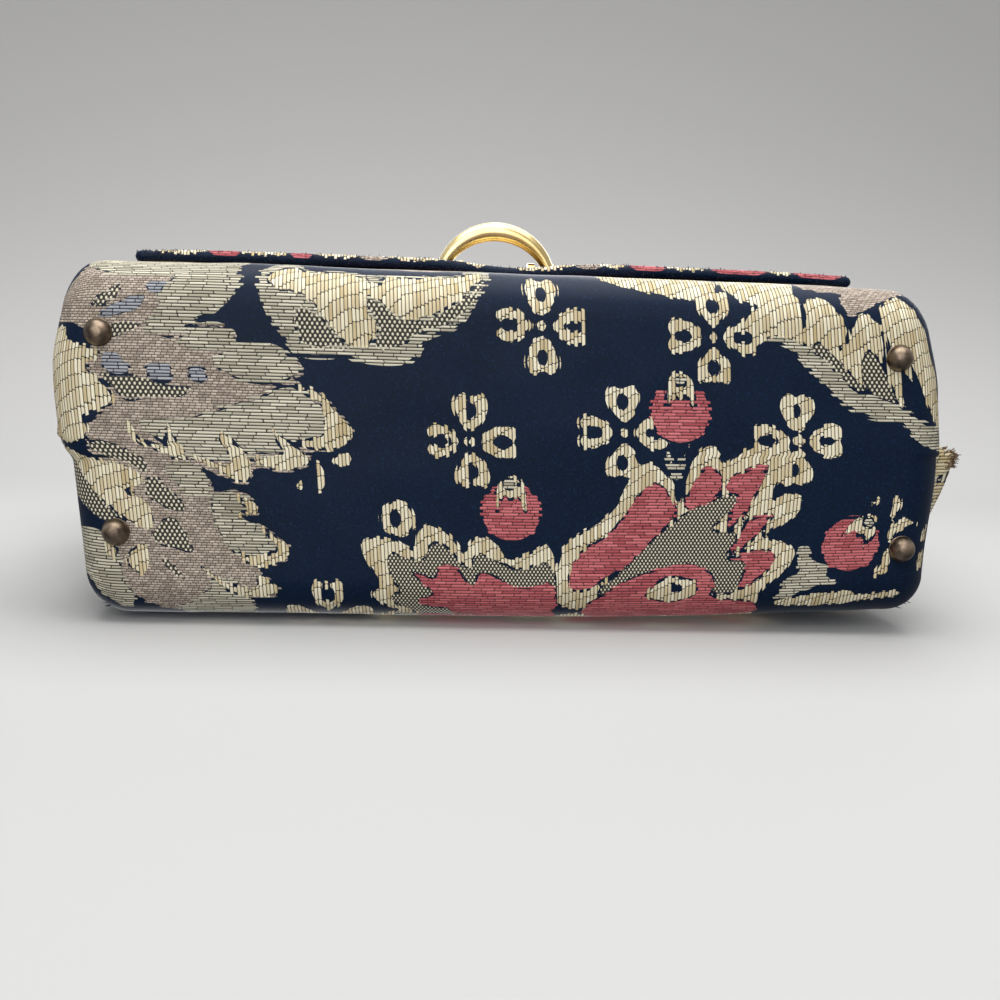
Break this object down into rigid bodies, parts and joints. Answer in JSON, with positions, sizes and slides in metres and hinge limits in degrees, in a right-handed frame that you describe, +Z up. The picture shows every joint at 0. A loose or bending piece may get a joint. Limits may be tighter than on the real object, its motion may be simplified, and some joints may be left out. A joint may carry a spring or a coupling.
{
  "type": "tapestry handbag",
  "caption": "Small structured tapestry handbag on domed studs, with creased end gussets, a stiff front flap over a fold-down brass bow clasp and a rolled top handle.",
  "frame": {"origin": "on the floor, at the centre of the four feet", "axes": "+Z up, +X along the width, the front with the flap and clasp towards -Y"},
  "size_m": [0.218, 0.1, 0.2487],
  "materials": {
    "tapestry": "woven floral tapestry on a dark navy ground",
    "board": "plain",
    "lining": "plain dark cloth",
    "brass": "polished",
    "bronze": "antique brown",
    "handle_leather": "smooth black"
  },
  "bodies": {
    "bag": {"tapestry_wrap": "tapestry", "left_gusset": "tapestry", "right_gusset": "tapestry", "front_board": "board", "back_board": "board", "bottom_board": "board", "lining": "lining", "inner_pocket": "lining", "flap_top_cover": "tapestry", "flap_top_board": "board", "flap_top_lining": "lining", "clasp_base": "brass", "clasp_rivets": "brass", "clasp_back_plate": "brass", "foot_front_left": "bronze", "foot_front_right": "bronze", "foot_back_left": "bronze", "foot_back_right": "bronze", "foot_washers": "bronze", "handle_tab_left": "handle_leather", "handle_tab_right": "handle_leather", "tab_rivets": "bronze"},
    "flap": {"flap_front_cover": "tapestry", "flap_front_board": "board", "flap_front_lining": "lining", "slot_plate": "brass", "slot_back_plate": "brass"},
    "bow": {"clasp_bow": "brass"},
    "handle": {"handle": "handle_leather", "handle_loop_left": "brass", "handle_loop_right": "brass"}
  },
  "joints": [
    {"name": "flap_swing", "type": "hinge", "parent": "bag", "child": "flap", "pos_m": [0, -0.04277, 0.1713], "axis": [-1, 0, 0], "range_deg": [0, 115]},
    {"name": "bow_fold", "type": "hinge", "parent": "bag", "child": "bow", "pos_m": [0, -0.04595, 0.08552], "axis": [1, 0, 0], "range_deg": [0, 50]},
    {"name": "handle_swing", "type": "hinge", "parent": "bag", "child": "handle", "pos_m": [0, -0.001, 0.1762], "axis": [1, 0, 0], "range_deg": [-70, 70]}
  ]
}
